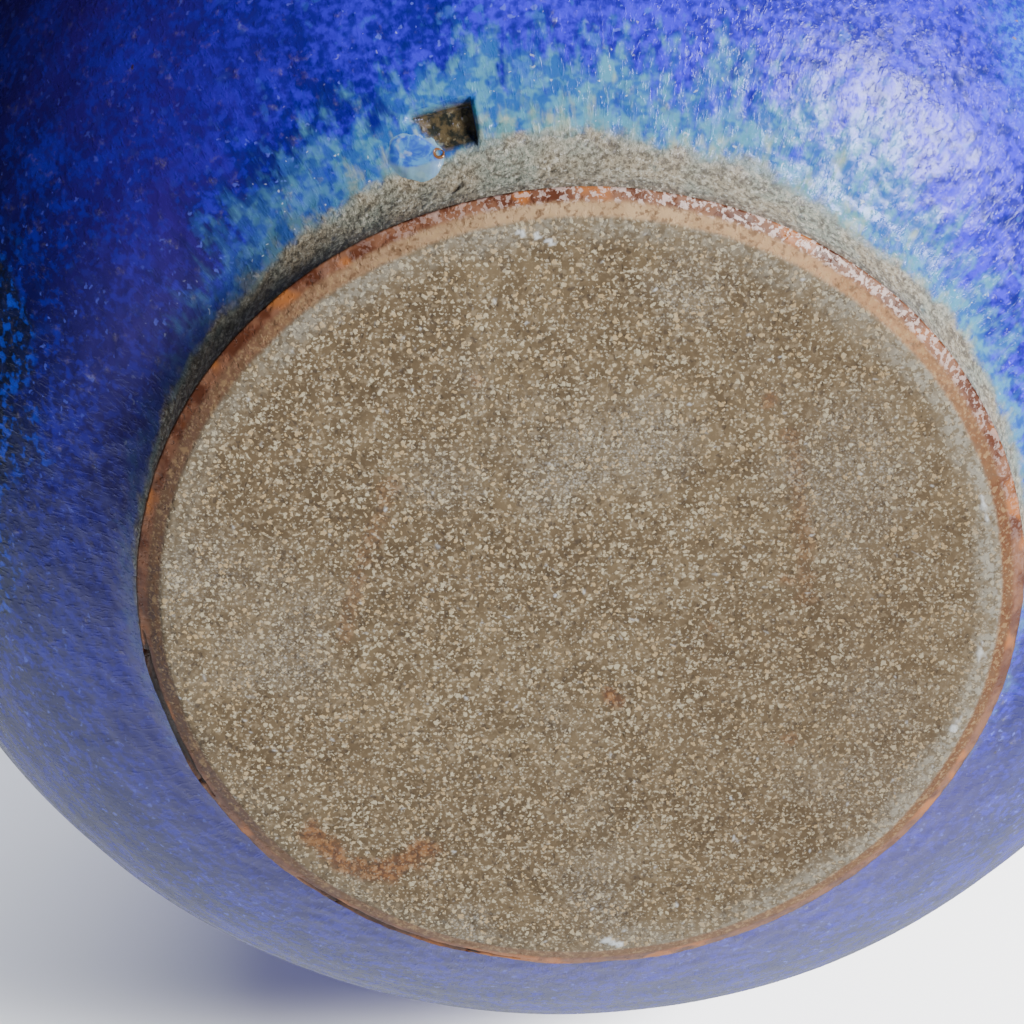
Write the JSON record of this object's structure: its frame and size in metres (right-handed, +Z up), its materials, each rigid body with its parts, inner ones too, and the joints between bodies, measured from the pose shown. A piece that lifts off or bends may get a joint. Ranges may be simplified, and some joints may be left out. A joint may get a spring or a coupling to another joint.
{
  "type": "vase",
  "caption": "Round-bellied glazed stoneware vase with a bare flat foot, a narrow waisted neck and a flared rounded lip.",
  "frame": {"origin": "middle of the flat unglazed underside, on the surface the vase stands on", "axes": "+Z up the vase's axis towards the mouth; -Y is the side with the blank seal, 17.3 degrees clockwise of it as seen from above"},
  "size_m": [0.1834, 0.1834, 0.2073],
  "materials": {
    "bare_stoneware": "fired bare clay with light grog specks, rust stains and a toasted bevel",
    "inner_stoneware": "fired grogged clay under the glaze",
    "blue_glaze": "glossy ultramarine glaze breaking to turquoise, with light flecks",
    "foot_glaze": "thin gritty grey-green glaze",
    "liner_glaze": "glossy blue liner glaze",
    "pool_glaze": "light blue pooled glaze"
  },
  "bodies": {
    "root": {"foot_slab": "bare_stoneware", "lower_wall": "inner_stoneware", "shoulder_wall": "inner_stoneware", "neck_collar": "inner_stoneware", "lip_ring": "inner_stoneware", "foot_glaze_band": "foot_glaze", "glaze_coat": "blue_glaze", "liner_glaze": "liner_glaze", "seal_glaze_pool": "pool_glaze"}
  },
  "joints": []
}
